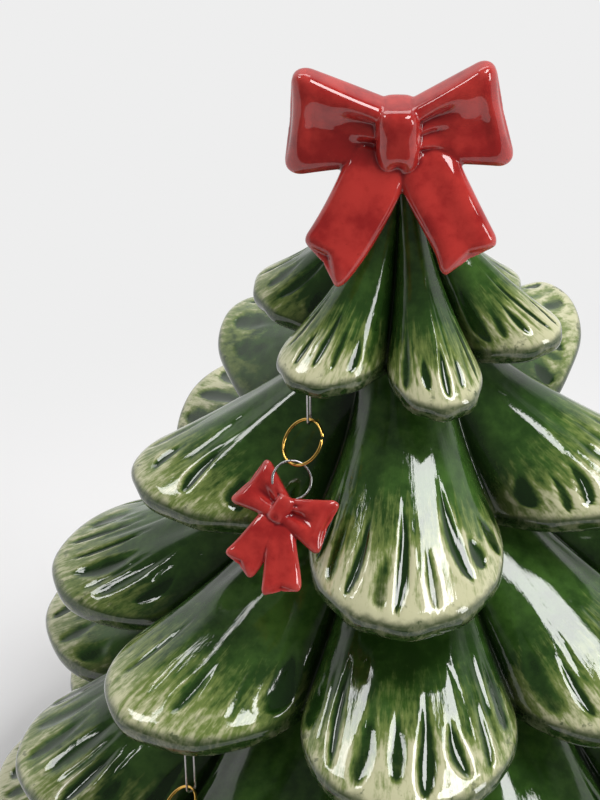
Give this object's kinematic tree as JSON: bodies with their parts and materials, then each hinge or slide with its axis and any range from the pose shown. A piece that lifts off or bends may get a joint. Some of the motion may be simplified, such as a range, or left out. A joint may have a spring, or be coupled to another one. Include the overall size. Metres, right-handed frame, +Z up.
{
  "type": "christmas tree figurine",
  "caption": "Glazed ceramic christmas tree with scalloped, fluted tiers of boughs, a large red bow on top and small bow charms hung on wire staples and split rings.",
  "frame": {"origin": "centre of the foot, on the surface that it stands on", "axes": "+Z up the tree, -Y towards the front, with the top bow facing that way"},
  "size_m": [0.191, 0.1838, 0.205],
  "materials": {
    "green_glaze": "deep green gloss glaze over cream brushed bough tips",
    "red_glaze": "red gloss glaze",
    "gold_wire": "bright gold-coloured round wire",
    "silver_wire": "plain steel wire"
  },
  "bodies": {
    "tree": {"tree_body": "green_glaze", "top_bow": "red_glaze", "staple_1": "silver_wire", "staple_2": "silver_wire", "staple_3": "silver_wire", "staple_4": "silver_wire", "staple_5": "silver_wire", "staple_6": "silver_wire"},
    "ring_1": {"jump_ring_1": "gold_wire"},
    "charm_1": {"charm_eye_1": "silver_wire", "charm_bow_1": "red_glaze"},
    "ring_2": {"jump_ring_2": "gold_wire"},
    "charm_2": {"charm_eye_2": "silver_wire", "charm_bow_2": "red_glaze"},
    "ring_3": {"jump_ring_3": "gold_wire"},
    "charm_3": {"charm_eye_3": "silver_wire", "charm_bow_3": "red_glaze"},
    "ring_4": {"jump_ring_4": "gold_wire"},
    "charm_4": {"charm_eye_4": "silver_wire", "charm_bow_4": "red_glaze"},
    "ring_5": {"jump_ring_5": "gold_wire"},
    "charm_5": {"charm_eye_5": "silver_wire", "charm_bow_5": "red_glaze"},
    "ring_6": {"jump_ring_6": "gold_wire"},
    "charm_6": {"charm_eye_6": "silver_wire", "charm_bow_6": "red_glaze"}
  },
  "joints": [
    {"name": "ring_1_lift", "type": "hinge", "parent": "tree", "child": "ring_1", "pos_m": [-0.01902, -0.02189, 0.1343], "axis": [-0.9336, 0.3584, 0], "range_deg": [0, 60]},
    {"name": "charm_1_flip", "type": "hinge", "parent": "ring_1", "child": "charm_1", "pos_m": [-0.02157, -0.02851, 0.12761], "axis": [-0.7735, 0.5722, -0.2726], "range_deg": [0, 60]},
    {"name": "ring_2_lift", "type": "hinge", "parent": "tree", "child": "ring_2", "pos_m": [-0.0434, -0.05556, 0.0663], "axis": [-0.766, 0.6428, 0], "range_deg": [0, 60]},
    {"name": "charm_2_flip", "type": "hinge", "parent": "ring_2", "child": "charm_2", "pos_m": [-0.04813, -0.06119, 0.0599], "axis": [-0.5521, 0.7844, -0.2825], "range_deg": [0, 60]},
    {"name": "ring_3_lift", "type": "hinge", "parent": "tree", "child": "ring_3", "pos_m": [-0.00652, 0.02825, 0.1368], "axis": [0.9336, 0.3584, 0], "range_deg": [0, 60]},
    {"name": "charm_3_flip", "type": "hinge", "parent": "ring_3", "child": "charm_3", "pos_m": [-0.00945, 0.03589, 0.13149], "axis": [0.9387, 0.142, -0.3143], "range_deg": [0, 60]},
    {"name": "ring_4_lift", "type": "hinge", "parent": "tree", "child": "ring_4", "pos_m": [0.0071, 0.05052, 0.1008], "axis": [0.9659, -0.2588, 0], "range_deg": [0, 60]},
    {"name": "charm_4_flip", "type": "hinge", "parent": "ring_4", "child": "charm_4", "pos_m": [0.00929, 0.05869, 0.09594], "axis": [0.8473, -0.4204, -0.3247], "range_deg": [0, 60]},
    {"name": "ring_5_lift", "type": "hinge", "parent": "tree", "child": "ring_5", "pos_m": [0.04638, 0.04973, 0.0688], "axis": [0.682, -0.7314, 0], "range_deg": [0, 60]},
    {"name": "charm_5_flip", "type": "hinge", "parent": "ring_5", "child": "charm_5", "pos_m": [0.05094, 0.05399, 0.06131], "axis": [0.4218, -0.8745, -0.2397], "range_deg": [0, 60]},
    {"name": "ring_6_lift", "type": "hinge", "parent": "tree", "child": "ring_6", "pos_m": [0.068, 0, 0.0688], "axis": [-0.0349, -0.9994, 0], "range_deg": [0, 60]},
    {"name": "charm_6_flip", "type": "hinge", "parent": "ring_6", "child": "charm_6", "pos_m": [0.0742, -0.00022, 0.06128], "axis": [-0.3211, -0.9165, -0.2385], "range_deg": [0, 60]}
  ]
}
